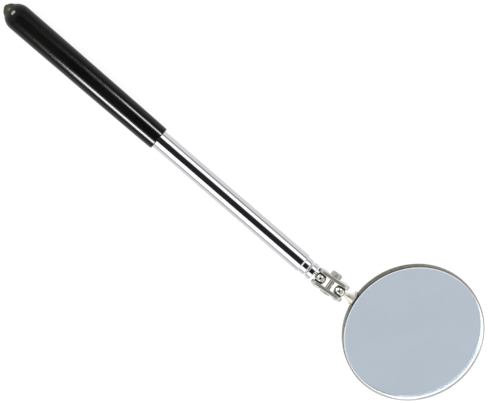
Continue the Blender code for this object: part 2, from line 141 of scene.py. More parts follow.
def along(base, origin, direction):
    """A frame with its X along a direction of a base frame, from an origin given in that base."""
    x = Vector(direction).normalized()
    side = Vector((1, 0, 0)) if abs(x.z) > 0.9 else Vector((0, 0, 1))
    y = side.cross(x).normalized()
    return base @ axes_frame(Vector(origin), x, y, x.cross(y))


def make_frames():
    tube_axis = joint_axis("stage_2_spin")
    upward = joint_axis("ball_1_tilt")
    handle = axes_frame(joint_origin("stage_2_spin"), tube_axis, upward.cross(tube_axis), upward)
    screw_axis = joint_axis("ball_1_swing")
    clamp = axes_frame(joint_origin("ball_1_tilt"), screw_axis.cross(upward), screw_axis, upward)
    stud_axis = joint_axis("ball_2_roll")
    glass_normal = -Vector(frame["record"]["mounts"][0]["axis"]).normalized()
    across = glass_normal.cross(stud_axis)
    head = axes_frame(joint_origin("ball_2_roll"), stud_axis, across, glass_normal)
    return handle, clamp, head


HANDLE, CLAMP, HEAD = make_frames()
BALL_SPACING = (joint_origin("ball_2_swing") - joint_origin("ball_1_swing")).length


class Span:
    """What a CAD node measures in a frame: its lowest and highest corners, and its radius about X."""

    def __init__(self, node, place):
        inverse = place.inverted()
        points = np.array([inverse @ vertex.co for vertex in frame["nodes"][node].data.vertices])
        self.low = Vector(points.min(0))
        self.high = Vector(points.max(0))
        self.radius = float(np.hypot(points[:, 1], points[:, 2]).max())


# Shapes

def rounded(corners, steps=ROUND_STEPS, closed=False):
    """A flat path through corners (x, y) or (x, y, radius), with the given corners rounded."""
    path = []
    count = len(corners)
    for i, corner in enumerate(corners):
        point = Vector(corner[:2])
        radius = corner[2] if len(corner) > 2 else 0.0
        if radius <= 0 or (not closed and i in (0, count - 1)):
            path.append(point)
            continue
        back = Vector(corners[i - 1][:2]) - point
        ahead = Vector(corners[(i + 1) % count][:2]) - point
        u, v = back.normalized(), ahead.normalized()
        half = math.acos(max(-1.0, min(1.0, u.dot(v)))) / 2
        cut = min(radius / math.tan(half), 0.49 * back.length, 0.49 * ahead.length)
        radius = cut * math.tan(half)
        centre = point + (u + v).normalized() * (radius / math.sin(half))
        start, end = point + u * cut - centre, point + v * cut - centre
        sweep = start.angle_signed(end, 0.0)
        for k in range(steps + 1):
            turn = Matrix.Rotation(-sweep * k / steps, 2)
            path.append(centre + turn @ start)
    return path


def arc(centre, radii, start, end, steps=ROUND_STEPS):
    """Points on an arc about centre, from start to end in degrees, with radii along x and y."""
    points = []
    for k in range(steps + 1):
        angle = math.radians(start + (end - start) * k / steps)
        points.append(Vector((centre[0] + radii[0] * math.cos(angle),
                              centre[1] + radii[1] * math.sin(angle))))
    return points


def smoothed(path, passes):
    """Cut the corners off an open path until it is a smooth curve with the same ends."""
    for _ in range(passes):
        inner = []
        for one, two in zip(path, path[1:]):
            inner += [one.lerp(two, 0.25), one.lerp(two, 0.75)]
        path = [path[0]] + inner[1:-1] + [path[-1]]
    return path


def shade(mesh):
    """Smooth, apart from the edges that turn more than SMOOTH_ANGLE degrees."""
    mesh.shade_smooth()
    mesh.set_sharp_from_angle(angle=math.radians(SMOOTH_ANGLE))


def new_piece(name, bm, place, body, material, nodes=()):
    """Finish a mesh as a piece of the object: shaded, painted and riding on its body."""
    bmesh.ops.remove_doubles(bm, verts=bm.verts, dist=0.0005 * MM)
    bmesh.ops.recalc_face_normals(bm, faces=bm.faces)
    mesh = bpy.data.meshes.new(name)
    bm.to_mesh(mesh)
    bm.free()
    shade(mesh)
    mesh.materials.append(material)
    obj = bpy.data.objects.new(name, mesh)
    bpy.context.scene.collection.objects.link(obj)
    obj.matrix_world = place
    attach(obj, body)
    if nodes:
        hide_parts(*nodes)
    return obj


def turned_mesh(path, segments=TURN_SEGMENTS, closed=False, relief=None):
    """Turn a path (x, radius) about X. relief(x, angle, radius) is added to the radius."""
    bm = bmesh.new()
    rings = []
    for x, radius in path:
        if radius < 0.001 * MM:
            rings.append([bm.verts.new((x, 0, 0))])
            continue
        ring = []
        for k in range(segments):
            angle = 2 * math.pi * k / segments
            r = radius + (relief(x, angle, radius) if relief else 0.0)
            ring.append(bm.verts.new((x, r * math.cos(angle), r * math.sin(angle))))
        rings.append(ring)
    pairs = list(zip(rings, rings[1:]))
    if closed:
        pairs.append((rings[-1], rings[0]))
    for one, two in pairs:
        for k in range(segments):
            n = (k + 1) % segments
            corners = [one[k % len(one)], one[n % len(one)], two[n % len(two)], two[k % len(two)]]
            unique = list(dict.fromkeys(corners))
            if len(unique) > 2:
                bm.faces.new(unique)
    return bm


def turned(name, path, place, body, material, nodes=(), segments=TURN_SEGMENTS, closed=False,
           relief=None):
    bm = turned_mesh(path, segments, closed, relief)
    return new_piece(name, bm, place, body, material, nodes)


def cut(obj, bm_cutter, place):
    """Take a cutter, made in a frame of its own, out of a piece."""
    mesh = bpy.data.meshes.new("cutter")
    bmesh.ops.recalc_face_normals(bm_cutter, faces=bm_cutter.faces)
    bm_cutter.to_mesh(mesh)
    bm_cutter.free()
    cutter = bpy.data.objects.new("cutter", mesh)
    bpy.context.scene.collection.objects.link(cutter)
    cutter.matrix_world = place
    modifier = obj.modifiers.new("cut", 'BOOLEAN')
    modifier.operation = 'DIFFERENCE'
    modifier.solver = 'EXACT'
    modifier.object = cutter
    apply_modifiers(obj)
    bpy.data.objects.remove(cutter, do_unlink=True)


def apply_modifiers(obj):
    bpy.context.view_layer.update()
    evaluated = obj.evaluated_get(bpy.context.evaluated_depsgraph_get())
    mesh = bpy.data.meshes.new_from_object(evaluated)
    obj.modifiers.clear()
    obj.data = mesh
    shade(mesh)


def bevel_edges(obj, width, segments):
    modifier = obj.modifiers.new("edges", 'BEVEL')
    modifier.width = width
    modifier.segments = segments
    modifier.limit_method = 'ANGLE'
    modifier.angle_limit = math.radians(50)


def box_mesh(size):
    bm = bmesh.new()
    bmesh.ops.create_cube(bm, size=1.0)
    bmesh.ops.scale(bm, vec=Vector(size), verts=bm.verts)
    return bm


# Node graphs

class Graph:
    """Short calls that add nodes to a node tree and return their outputs."""

    def __init__(self, tree):
        self.tree = tree

    def add(self, kind, inputs=None, output=0, **settings):
        """Add a node, with values or links on its inputs, and return one of its outputs."""
        node = self.tree.nodes.new(kind)
        for name, value in settings.items():
            setattr(node, name, value)
        for name, value in (inputs or {}).items():
            if isinstance(value, bpy.types.NodeSocket):
                self.tree.links.new(value, node.inputs[name])
            else:
                node.inputs[name].default_value = value
        return node.outputs[output]

    def coords(self, stretch):
        place = self.add("ShaderNodeTexCoord", output="Object")
        return self.add("ShaderNodeMapping", {"Vector": place, "Scale": stretch})

    def noise(self, scale, stretch=(1, 1, 1), detail=2.0, roughness=0.5):
        inputs = {"Vector": self.coords(stretch), "Scale": scale, "Detail": detail,
                  "Roughness": roughness}
        return self.add("ShaderNodeTexNoise", inputs)

    def spread(self, value, low, high, to_low, to_high):
        """Map low..high of a value smoothly to to_low..to_high, and hold it there beyond them."""
        inputs = {"Value": value, "From Min": low, "From Max": high, "To Min": to_low,
                  "To Max": to_high}
        return self.add("ShaderNodeMapRange", inputs, interpolation_type='SMOOTHSTEP')

    def math(self, operation, a, b=0.0):
        return self.add("ShaderNodeMath", {0: a, 1: b}, operation=operation)

    def mix(self, factor, a, b):
        """Mix two colours, as (r, g, b) or outputs."""
        a = (*a, 1.0) if isinstance(a, tuple) else a
        b = (*b, 1.0) if isinstance(b, tuple) else b
        return self.add("ShaderNodeMix", {0: factor, 6: a, 7: b}, output=2, data_type='RGBA')

    def bump(self, height, distance, strength, normal=None):
        inputs = {"Height": height, "Distance": distance, "Strength": strength}
        if normal is not None:
            inputs["Normal"] = normal
        return self.add("ShaderNodeBump", inputs)

    def part_of(self, axis):
        """One of a point's coordinates in its piece's own frame."""
        place = self.add("ShaderNodeTexCoord", output="Object")
        return self.add("ShaderNodeSeparateXYZ", {0: place}, output=axis)


def new_material(name, paint, **constants):
    """A material whose paint(graph) gives its linked inputs, and whose constants are set directly."""
    material = bpy.data.materials.new(name)
    material.use_nodes = True
    shader = material.node_tree.nodes["Principled BSDF"]
    for key, value in constants.items():
        shader.inputs[key.replace("_", " ")].default_value = value
    for key, value in paint(Graph(material.node_tree)).items():
        material.node_tree.links.new(value, shader.inputs[key])
    return material


# Materials

def paint_vinyl(graph):
    """Dipped vinyl: glossy black, faintly uneven, with a soft bloom, fine orange peel and a painted olive
    reflection near its closed end.
    """
    bloom = graph.noise(160, (0.35, 1, 1), 3.0)
    smear = graph.noise(420, (0.15, 1, 1), 4.0, 0.6)
    speck = graph.noise(5200, detail=1.0)
    base = graph.mix(graph.spread(bloom, 0.35, 0.7, 0.0, 1.0), (0.0009, 0.0009, 0.0010),
                     (0.0018, 0.0017, 0.0015))
    end = Span("grip", HANDLE).low.x
    # Painted reflection: towards the closed end the base colour turns dark olive, as if the tip mirrored something
    # olive.
    closed = graph.spread(graph.part_of(0), end + 1.5 * MM, end + 5.5 * MM, 1.0, 0.0)
    base = graph.mix(closed, base, (0.0105, 0.0110, 0.0065))
    dusty = graph.mix(graph.spread(speck, 0.73, 0.78, 0.0, 0.5), base, (0.035, 0.034, 0.032))
    nub = graph.spread(graph.part_of(0), end + 2.0 * MM, end + 2.8 * MM, 0.4, 0.0)
    sag = graph.noise(110, (0.25, 1, 1), 1.0)
    peel = graph.noise(1500, detail=1.0)
    normal = graph.bump(sag, 0.10 * MM, 0.35)
    normal = graph.bump(peel, 0.004 * MM, 0.5, normal)
    return {
        "Base Color": dusty,
        "Roughness": graph.math('ADD', graph.spread(smear, 0.3, 0.75, 0.075, 0.13), nub),
        "Normal": normal,
    }


def paint_chrome_tube(graph):
    """Drawn and chromed tube: fine lengthwise lines, and a few smudges that dull the shine."""
    lines = graph.noise(5200, (0.004, 1, 1), 3.0, 0.6)
    scratch = graph.noise(2600, (0.02, 1, 1), 2.0, 0.5)
    smudge = graph.noise(130, (0.5, 1, 1), 3.0, 0.55)
    fog = graph.spread(smudge, 0.45, 0.75, 0.035, 0.115)
    fine = graph.spread(scratch, 0.62, 0.72, 0.0, 0.05)
    tone = graph.mix(graph.spread(smudge, 0.35, 0.75, 0.0, 1.0), (0.565, 0.565, 0.580),
                     (0.530, 0.528, 0.535))
    return {
        "Base Color": tone,
        "Roughness": graph.math('ADD', fog, fine),
        "Normal": graph.bump(lines, 0.0011 * MM, 0.5),
    }


def paint_case(graph):
    """The stamped case: a bright lip, a side wall and outer lip edge in a painted dark reflection, and a dull back
    with turning marks.
    """
    height = graph.part_of(0)
    y_squared = graph.math('POWER', graph.part_of(1), 2.0)
    z_squared = graph.math('POWER', graph.part_of(2), 2.0)
    radius = graph.math('SQRT', graph.math('ADD', y_squared, z_squared))
    # Noise that makes the edge and the tone of the painted dark reflection uneven.
    uneven_shade = graph.noise(700, detail=3.0)
    rim = Span("mirror_case", HEAD).high.y
    edge = graph.math('ADD', radius, graph.math('MULTIPLY', uneven_shade, 0.1 * MM))
    lip = graph.spread(edge, rim - 0.28 * MM, rim - 0.18 * MM, 1.0, 0.0)
    lip = graph.math('MULTIPLY', lip, graph.spread(height, 1.3 * MM, 1.5 * MM, 0.0, 1.0))
    back = graph.spread(height, -1.45 * MM, -1.25 * MM, 1.0, 0.0)
    smudge = graph.noise(150, detail=3.0)
    # Painted dark reflection and shade: the side wall and the outer half of the lip get a near-black olive tone in
    # place of dark surroundings mirrored in the chrome.
    painted_reflection_tone = graph.mix(graph.spread(uneven_shade, 0.35, 0.7, 0.0, 1.0), (0.078, 0.084, 0.058),
                          (0.120, 0.125, 0.092))
    back_tone = graph.mix(graph.spread(smudge, 0.3, 0.7, 0.0, 1.0), (0.52, 0.52, 0.50),
                          (0.62, 0.62, 0.60))
    tone = graph.mix(back, painted_reflection_tone, back_tone)
    tone = graph.mix(lip, tone, (0.78, 0.78, 0.78))
    rings = graph.add("ShaderNodeTexNoise", {"W": radius, "Scale": 9000.0, "Detail": 2.0},
                      noise_dimensions='1D')
    rings_on_back = graph.math('MULTIPLY', rings, back)
    rough = graph.spread(smudge, 0.35, 0.75, 0.20, 0.30)
    rough = graph.math('MULTIPLY', rough, graph.spread(lip, 0.0, 1.0, 1.0, 0.33))
    return {
        "Base Color": tone,
        "Roughness": rough,
        "Normal": graph.bump(rings_on_back, 0.003 * MM, 0.5),
    }


def paint_plated(seats=()):
    """Stamped, tumbled and plated steel, faintly warm, with soft dents, and painted shade round its ball seats."""
    def paint(graph):
        dent = graph.noise(650, detail=2.0)
        grain = graph.noise(5200, detail=2.0)
        stain = graph.noise(380, detail=3.0, roughness=0.6)
        tone = graph.mix(graph.spread(stain, 0.35, 0.75, 0.0, 1.0), (0.650, 0.655, 0.610),
                         (0.470, 0.465, 0.420))
        tone = graph.mix(graph.spread(grain, 0.68, 0.76, 0.0, 0.6), tone, (0.22, 0.20, 0.16))
        place = graph.add("ShaderNodeTexCoord", output="Object")
        for seat in seats:
            reach = graph.add("ShaderNodeVectorMath", {0: place, 1: (seat, 0, 0)}, output="Value",
                              operation='DISTANCE')
            # Painted shade: the plate turns dark brown within a ragged reach of each ball seat, where balls and
            # plates shade each other.
            uneven_shade = graph.math('ADD', reach, graph.math('MULTIPLY', stain, 0.5 * MM))
            tone = graph.mix(graph.spread(uneven_shade, 3.35 * MM, 3.65 * MM, 1.0, 0.0), tone,
                             (0.085, 0.065, 0.050))
        normal = graph.bump(dent, 0.035 * MM, 0.5)
        return {
            "Base Color": tone,
            "Roughness": graph.spread(stain, 0.3, 0.75, 0.34, 0.46),
            "Normal": graph.bump(grain, 0.004 * MM, 0.5, normal),
        }
    return paint


def paint_steel(bright, dark, least_rough, most_rough):
    """Turned steel: fine rings round its axis, with light tarnish in patches."""
    def paint(graph):
        rings = graph.noise(4200, (1, 0.05, 0.05), 2.0)
        stain = graph.noise(420, detail=3.0, roughness=0.6)
        return {
            "Base Color": graph.mix(graph.spread(stain, 0.4, 0.75, 0.0, 1.0), bright, dark),
            "Roughness": graph.spread(stain, 0.35, 0.75, least_rough, most_rough),
            "Normal": graph.bump(rings, 0.0015 * MM, 0.4),
        }
    return paint


def paint_screw(graph):
    """A tumbled, greenish grey head and nut, and a brighter shank between the plates."""
    stain = graph.noise(600, detail=3.0, roughness=0.6)
    grain = graph.noise(5200, detail=2.0)
    dull = graph.mix(graph.spread(stain, 0.35, 0.7, 0.0, 1.0), (0.56, 0.575, 0.53),
                     (0.42, 0.43, 0.38))
    shank = graph.spread(graph.part_of(0), PLATE_INNER - 0.2 * MM, PLATE_INNER, 1.0, 0.0)
    rough = graph.spread(stain, 0.3, 0.75, 0.40, 0.52)
    return {
        "Base Color": graph.mix(shank, dull, (0.60, 0.57, 0.49)),
        "Roughness": graph.math('MULTIPLY', rough, graph.spread(shank, 0.0, 1.0, 1.0, 0.35)),
        "Normal": graph.bump(grain, 0.004 * MM, 0.5),
    }


def paint_yellow_metal(bright, dark):
    """Brass or bronze: drawn lines, and duller where it is stained."""
    def paint(graph):
        stain = graph.noise(500, detail=3.0, roughness=0.6)
        lines = graph.noise(3800, (1, 0.06, 0.06), 2.0)
        return {
            "Base Color": graph.mix(graph.spread(stain, 0.3, 0.75, 0.0, 1.0), bright, dark),
            "Roughness": graph.spread(stain, 0.3, 0.75, 0.18, 0.38),
            "Normal": graph.bump(lines, 0.003 * MM, 0.5),
        }
    return paint


def paint_nylon(graph):
    """Moulded nylon: off-white, slightly cloudy and finely grained."""
    cloud = graph.noise(500, detail=3.0)
    grain = graph.noise(6000, detail=1.0)
    return {
        "Base Color": graph.mix(cloud, (0.74, 0.72, 0.66), (0.82, 0.81, 0.76)),
        "Roughness": graph.spread(cloud, 0.3, 0.7, 0.42, 0.58),
        "Normal": graph.bump(grain, 0.006 * MM, 0.5),
    }


def paint_card(graph):
    """Brown card with its fibres showing."""
    fibre = graph.noise(2400, (1, 0.25, 1), 4.0, 0.7)
    return {
        "Base Color": graph.mix(fibre, (0.30, 0.22, 0.14), (0.46, 0.37, 0.26)),
        "Roughness": graph.spread(fibre, 0.3, 0.7, 0.78, 0.92),
        "Normal": graph.bump(fibre, 0.02 * MM, 0.6),
    }


def paint_clear_glass(graph):
    """Clear float glass, with a few specks of dust and faint wipe marks on it."""
    wipe = graph.noise(90, (1, 0.2, 1), 3.0, 0.6)
    speck = graph.noise(2600, detail=1.0)
    dust = graph.spread(speck, 0.77, 0.81, 0.0, 0.2)
    return {
        "Base Color": graph.mix(wipe, (0.985, 0.995, 0.990), (0.97, 0.985, 0.98)),
        "Roughness": graph.math('ADD', graph.spread(wipe, 0.45, 0.75, 0.0, 0.006), dust),
    }


def paint_ground_edge(graph):
    """The ground edge of the glass: pale, matt and finely pitted, with a painted warm glow that stands in for
    light carried through the slab.
    """
    pits = graph.noise(3200, detail=3.0)
    return {
        "Base Color": graph.mix(pits, (0.88, 0.90, 0.89), (0.95, 0.97, 0.96)),
        # Painted glow: the edge emits warm light of its own, though it is no lamp.
        "Emission Color": graph.mix(pits, (1.0, 0.97, 0.92), (0.92, 0.89, 0.84)),
        "Roughness": graph.spread(pits, 0.3, 0.7, 0.45, 0.65),
        "Normal": graph.bump(pits, 0.01 * MM, 0.4),
    }


def paint_mirror(graph):
    """Silvering: tinted blue as a painted reflection, very smooth, with a breath of haze and a few specks of dust.
    """
    haze = graph.noise(55, detail=3.0, roughness=0.6)
    speck = graph.noise(2600, detail=1.0)
    dust = graph.spread(speck, 0.77, 0.81, 0.0, 1.0)
    # Painted reflection: the silvering's colour is a cool blue, the colour it shows of its surroundings.
    tone = graph.mix(graph.spread(haze, 0.3, 0.7, 0.0, 1.0), (0.735, 0.810, 0.900),
                     (0.715, 0.785, 0.865))
    return {
        "Base Color": graph.mix(graph.math('MULTIPLY', dust, 0.25), tone, (0.55, 0.56, 0.57)),
        "Roughness": graph.math('ADD', graph.spread(haze, 0.45, 0.75, 0.010, 0.022),
                                graph.math('MULTIPLY', dust, 0.12)),
    }


def make_materials():
    metal = {"Metallic": 1.0}
    polished = paint_steel((0.66, 0.65, 0.62), (0.52, 0.49, 0.43), 0.10, 0.20)
    satin = paint_steel((0.80, 0.77, 0.68), (0.62, 0.57, 0.46), 0.28, 0.40)
    paint_brass = paint_yellow_metal((0.80, 0.60, 0.26), (0.55, 0.38, 0.15))
    paint_bronze = paint_yellow_metal((0.66, 0.40, 0.20), (0.42, 0.24, 0.12))
    recipes = (
        ("black_vinyl", paint_vinyl, {"IOR": 1.5, "Specular_IOR_Level": 0.15}),
        ("chrome_tube", paint_chrome_tube, metal),
        ("chrome_case", paint_case, metal),
        ("plated_clamp", paint_plated((0.0, BALL_SPACING)), metal),
        ("plated_bracket", paint_plated(), metal),
        ("bright_steel", polished, metal),
        ("satin_steel", satin, metal),
        ("zinc_screw", paint_screw, metal),
        ("brass", paint_brass, metal),
        ("spring_bronze", paint_bronze, metal),
        ("nylon", paint_nylon, {}),
        ("card", paint_card, {}),
        ("mirror_glass", paint_clear_glass, {"IOR": 1.52, "Transmission_Weight": 1.0}),
        ("silvering", paint_mirror, metal),
        # The ground edge's painted glow.
        ("ground_edge", paint_ground_edge, {"Emission_Strength": 0.5}),
    )
    return {name: new_material(name, paint, **constants) for name, paint, constants in recipes}


MATERIALS = make_materials()


# Handle and telescope

def grip_path(span):
    """From the bore at the open edge, round the edge and down the barrel to the nub."""
    front, back, widest = span.high.x, span.low.x, span.radius
    slim = widest - GRIP_SLIMMING
    bore = Span("outer_tube", HANDLE).radius + 0.04 * MM
    path = rounded([(front - 6 * MM, bore), (front, bore, GRIP_EDGE[0]), (front, slim, GRIP_EDGE[1]),
                    (front - 4 * MM, slim + 0.02 * MM)], 6)[:-1]
    shoulder = back + GRIP_SHOULDER
    start = path[-1]
    for k in range(1, GRIP_RINGS + 1):
        share = k / GRIP_RINGS
        x = start.x + (shoulder - start.x) * share
        path.append(Vector((x, start.y + (widest - start.y) * share ** GRIP_TAPER)))
    path += arc((shoulder, 0.0), (GRIP_SHOULDER_LENGTH, widest), 90, 144, 24)[1:]
    nub = path[-2:] + [Vector((back + x * MM, radius * MM)) for x, radius in NUB_PROFILE]
    path += smoothed(nub, 3)[1:]
    return path


def grip_relief(x, angle, radius):
    """The dip is a little uneven along the barrel. Its bore and the tip of its nub are even."""
    if radius < GRIP_EVEN_RADIUS:
        return 0.0
    place = Vector((x / (14 * MM), 1.3 * math.cos(angle), 1.3 * math.sin(angle)))
    return GRIP_WAVE * noise.noise(place)


def make_grip():
    path = grip_path(Span("grip", HANDLE))
    return turned("grip_look", path, HANDLE, "handle", MATERIALS["black_vinyl"],
                  ["grip"], 128, relief=grip_relief)


def tube_path(radius, front, back, neck=0.0):
    """A tube with a rolled mouth. With a neck, its back end is drawn in for the sleeve and collar."""
    bore = radius - TUBE_WALL
    mouth = bore - MOUTH_LIP
    run, drop = MOUTH_CHAMFER
    corners = [
        (front - 1.0 * MM, bore),
        (front - 0.7 * MM, mouth, 0.1 * MM),
        (front, mouth, 0.08 * MM),
        (front, radius - drop, 0.12 * MM),
        (front - run, radius, 0.2 * MM),
    ]
    if neck:
        shoulder = back + BASE_LENGTH
        drawn_in = shoulder - 0.3 * MM
        slim = radius - neck
        corners += [
            (shoulder, radius, 0.2 * MM),
            (drawn_in, slim, 0.2 * MM),
            (back, slim),
            (back, slim - TUBE_WALL),
            (drawn_in, slim - TUBE_WALL),
            (shoulder, bore),
        ]
    else:
        corners += [(back, radius), (back, bore)]
    return rounded(corners)


def make_tubes():
    chrome = MATERIALS["chrome_tube"]
    span = Span("outer_tube", HANDLE)
    turned("outer_tube_look", tube_path(span.radius, span.high.x, span.low.x), HANDLE, "handle",
           chrome, ["outer_tube"], closed=True)
    for stage in (2, 3, 4, 5):
        node = "tube_%d" % stage
        span = Span(node, HANDLE)
        path = tube_path(span.radius, span.high.x, span.low.x, NECK_DEPTH)
        turned(node + "_look", path, HANDLE, "stage_%d" % stage, chrome, [node],
               closed=True)


def make_ferrule():
    """The end piece stands just off the second stage's mouth and plugs the last stage."""
    span = Span("end_ferrule", HANDLE)
    front, radius = span.high.x, span.radius
    back = Span("tube_2", HANDLE).high.x + 0.15 * MM
    spigot = Span("tube_5", HANDLE).radius - TUBE_WALL - 0.05 * MM
    hole = NECK_RADIUS + 0.02 * MM
    path = rounded([
        (front - 3 * MM, 0.0),
        (front - 3 * MM, hole),
        (front - 0.12 * MM, hole, 0.1 * MM),
        (front, hole + 0.35 * MM, 0.1 * MM),
        (front, radius, 0.3 * MM),
        (back + MOUTH_CHAMFER[0], radius, 0.15 * MM),
        (back, radius - MOUTH_CHAMFER[1], 0.1 * MM),
        (back, spigot),
        (span.low.x, spigot, 0.2 * MM),
        (span.low.x, 0.0),
    ])
    turned("end_ferrule_look", path, HANDLE, "stage_5", MATERIALS["chrome_tube"],
           ["end_ferrule"])


# Ball joint

def make_ball(node, place, body):
    radius = Span(node, place).radius
    path = arc((0, 0), (radius, radius), 0, 180, 40)
    path[0].y = path[-1].y = 0.0
    return turned(node + "_look", path, place, body, MATERIALS["bright_steel"], [node],
                  72)


def ball_seat(radius, ball, side):
    """How far along X, on one side, a neck of that radius sinks into its ball."""
    sunk = ball - NECK_SUNK
    return side * math.sqrt(sunk ** 2 - radius ** 2)


def make_first_stud():
    place = along(HANDLE, HANDLE.inverted() @ CLAMP.translation, (1, 0, 0))
    span = Span("ball_stud_1", place)
    ball = Span("ball_1", place).radius
    seat = ball_seat(NECK_RADIUS, ball, -1)
    path = rounded([(seat + 0.3 * MM, 0.0), (seat + 0.3 * MM, NECK_RADIUS * 0.9),
                    (seat, NECK_RADIUS + 0.1 * MM), (seat - 0.5 * MM, NECK_RADIUS, 1.0 * MM),
                    (span.low.x, NECK_RADIUS, 0.2 * MM), (span.low.x, 0.0)])
    turned("ball_stud_1_look", path, place, "stage_5", MATERIALS["bright_steel"],
           ["ball_stud_1"], 48)


def soft_max(a, b, blend):
    """The larger of two heights, with the crease where they meet rounded over a blend."""
    gap = max(blend - abs(a - b), 0.0) / blend
    return max(a, b) + gap * gap * blend / 4


def plate_heights(x, y, spacing, cup):
    """The outer and inner faces of a clamp plate over a point: domes outside, ball seats inside."""
    outer, inner = PLATE_OUTER, PLATE_INNER
    for centre in (0.0, spacing):
        reach = (x - centre) ** 2 + y ** 2
        dome = math.sqrt(max(DOME_RADIUS ** 2 - reach, 0.0))
        seat = math.sqrt(max(cup ** 2 - reach, 0.0))
        outer = soft_max(outer, dome, 0.3 * MM)
        inner = soft_max(inner, seat, 0.05 * MM)
    return outer, inner


def stadium(spacing, radius, ends=28, straight=30):
    """Points round a plate with two round ends, with the middle line point that each faces."""
    points = []
    for k in range(ends + 1):
        angle = math.radians(-90 + 180 * k / ends)
        points.append((Vector((spacing + radius * math.cos(angle), radius * math.sin(angle))),
                       Vector((spacing, 0))))
    for k in range(1, straight):
        x = spacing * (1 - k / straight)
        points.append((Vector((x, radius)), Vector((x, 0))))
    for k in range(ends + 1):
        angle = math.radians(90 + 180 * k / ends)
        points.append((Vector((radius * math.cos(angle), radius * math.sin(angle))), Vector((0, 0))))
    for k in range(1, straight):
        x = spacing * k / straight
        points.append((Vector((x, -radius)), Vector((x, 0))))
    return points


def plate_mesh(spacing, radius, cup):
    """A stamped plate: its outline runs in rings from the middle line, over the edge and back."""
    outline = stadium(spacing, radius)
    rows = [(share, 'outer', 0.0) for share in np.linspace(0.0, 1.0, 15)[:-1]]
    rows += [(1.0, 'outer', angle) for angle in np.linspace(0, 90, 10)]
    rows += [(1.0, 'inner', angle) for angle in np.linspace(90, 0, 8)]
    rows += [(share, 'inner', 0.0) for share in np.linspace(1.0, 0.0, 17)[1:]]
    bm = bmesh.new()
    rings = []
    for share, face, angle in rows:
        edge = PLATE_ROUNDS[face]
        turn = math.radians(angle)
        ring = []
        for rim, middle in outline:
            side = (rim - middle).normalized()
            flat = middle + side * ((radius - edge) * share + edge * math.sin(turn) * (share == 1.0))
            outer, inner = plate_heights(flat.x, flat.y, spacing, cup)
            drop = edge * (1 - math.cos(turn))
            z = outer - drop if face == 'outer' else inner + drop
            ring.append(bm.verts.new((flat.x, flat.y, z)))
        rings.append(ring)
    count = len(outline)
    for one, two in zip(rings, rings[1:]):
        for k in range(count):
            n = (k + 1) % count
            bm.faces.new((one[k], one[n], two[n], two[k]))
    bmesh.ops.remove_doubles(bm, verts=bm.verts, dist=0.001 * MM)
    return bm


def make_plates():
    upright = axes_frame(Vector((0, 0, 0)), Vector((1, 0, 0)), Vector((0, 0, -1)), Vector((0, 1, 0)))
    inverted = axes_frame(Vector((0, 0, 0)), Vector((1, 0, 0)), Vector((0, 0, 1)), Vector((0, -1, 0)))
    for node, turn in (("clamp_plate_upper", upright), ("clamp_plate_lower", inverted)):
        place = CLAMP @ turn
        span = Span(node, place)
        bm = plate_mesh(BALL_SPACING, span.high.y, Span("ball_1", CLAMP).radius + 0.03 * MM)
        plate = new_piece(node + "_look", bm, place, "clamp",
                          MATERIALS["plated_clamp"], [node])
        hole = PLATE_HOLES[node]
        cutter = turned_mesh([Vector((-2 * MM, 0)), Vector((-2 * MM, hole)),
                              Vector((6 * MM, hole)), Vector((6 * MM, 0))], 48)
        cut(plate, cutter, along(place, (BALL_SPACING / 2, 0, 0), (0, 0, 1)))


def thread_relief(limit):
    """A V thread on the shank beyond a limit, fading in over one pitch."""
    def relief(x, angle, radius):
        if x > limit or radius < SHANK_RADIUS - 0.2 * MM:
            return 0.0
        phase = (x / THREAD_PITCH + angle / (2 * math.pi)) % 1.0
        fade = min(1.0, (limit - x) / THREAD_PITCH)
        return -THREAD_DEPTH * fade * abs(2 * phase - 1)
    return relief


def make_screw():
    middle = CLAMP.inverted() @ joint_origin("clamp_screw_turn")
    place = along(CLAMP, middle, (0, 1, 0))
    span = Span("clamp_screw", place)
    top, tip, head = span.high.x, span.low.x, span.radius
    shank = SHANK_RADIUS
    seat = PLATE_OUTER + 0.02 * MM
    path = [Vector((top, 0.0)), Vector((top - 0.01 * MM, 0.5 * MM))]
    path += rounded([(top - 0.03 * MM, 0.9 * MM), (top - 0.12 * MM, head, 0.75 * MM),
                     (seat, head, 0.12 * MM), (seat, shank)], 12)
    for k in range(1, int((seat - tip - 0.3 * MM) / SHANK_STEP)):
        path.append(Vector((seat - k * SHANK_STEP, shank)))
    path += [Vector((tip + 0.25 * MM, shank)), Vector((tip, shank - 0.3 * MM)), Vector((tip, 0.0))]
    screw = turned("clamp_screw_look", path, place, "clamp_screw",
                   MATERIALS["zinc_screw"], ["clamp_screw"], 72, relief=thread_relief(-PLATE_INNER))
    slot = box_mesh((2 * SLOT_DEPTH, 3 * head, SLOT_WIDTH))
    cut(screw, slot, place @ Matrix.Translation((top, 0, 0)))
    bevel_edges(screw, 0.04 * MM, 2)
    apply_modifiers(screw)


def make_nut():
    """The nut's hub sits in the lower plate, and its flange on the plate's outside."""
    middle = CLAMP.inverted() @ joint_origin("clamp_screw_turn")
    place = along(CLAMP, middle, (0, -1, 0))
    span = Span("clamp_nut", place)
    inside, outside, top = PLATE_INNER + 0.02 * MM, PLATE_OUTER + 0.01 * MM, span.high.x
    path = rounded([(inside, NUT_BORE, 0.08 * MM), (top, NUT_BORE, 0.12 * MM),
                    (top, span.radius, 0.18 * MM), (outside, span.radius, 0.06 * MM),
                    (outside, NUT_HUB), (inside, NUT_HUB)], 5, True)
    turned("clamp_nut_look", path, place, "clamp", MATERIALS["zinc_screw"],
           ["clamp_nut"], 72, True)


# Mirror head

